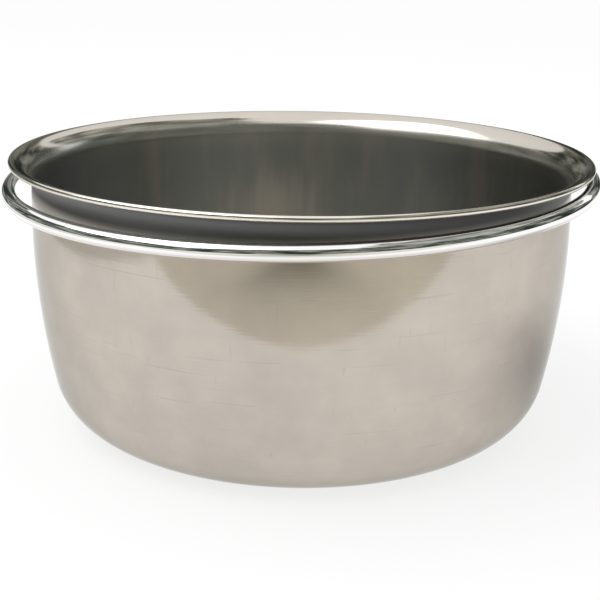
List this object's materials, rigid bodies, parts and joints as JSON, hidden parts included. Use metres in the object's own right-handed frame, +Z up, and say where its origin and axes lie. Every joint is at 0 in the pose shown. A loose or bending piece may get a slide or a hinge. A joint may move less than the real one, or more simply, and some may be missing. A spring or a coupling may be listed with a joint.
{
  "type": "coop cup",
  "caption": "Drawn steel feeding cup whose flared lip hangs in a wire holder ring; a bolt clamp with a wing nut grips cage bars, and the cup lifts out.",
  "frame": {"origin": "on the clamp stud's axis, in the rear face of the back plate, where the clamp grips the cage", "axes": "+Z up, +Y from the cup towards the cage along the stud, +X to the right seen from the front of the cup"},
  "size_m": [0.1537, 0.1807, 0.0705],
  "materials": {
    "cup_sheet": "polished, faintly brushed round the cup",
    "ring_wire": "bright polished round wire",
    "plated_steel": "bright zinc plating, slightly dull",
    "plated_thread": "bright zinc plating"
  },
  "bodies": {
    "holder": {"holder_ring": "ring_wire", "back_plate": "plated_steel", "clamp_stud": "plated_thread"},
    "cup": {"cup": "cup_sheet"},
    "clamp": {"clamp_plate": "plated_steel"},
    "nut": {"wing_nut": "plated_thread"}
  },
  "joints": [
    {"name": "cup_lift", "type": "slide", "parent": "holder", "child": "cup", "axis": [0, 0, 1], "range_m": [0, 0.085]},
    {"name": "clamp_slide", "type": "slide", "parent": "holder", "child": "clamp", "axis": [0, 1, 0], "range_m": [-0.0048, 0.01]},
    {"name": "nut_turn", "type": "hinge", "parent": "clamp", "child": "nut", "pos_m": [0, 0.01, 0], "axis": [0, 1, 0], "range_deg": [-1728, 3600]}
  ],
  "couplings": [
    {"joint": "nut_turn", "follows": "clamp_slide", "rad_per_m": 6283.2}
  ]
}
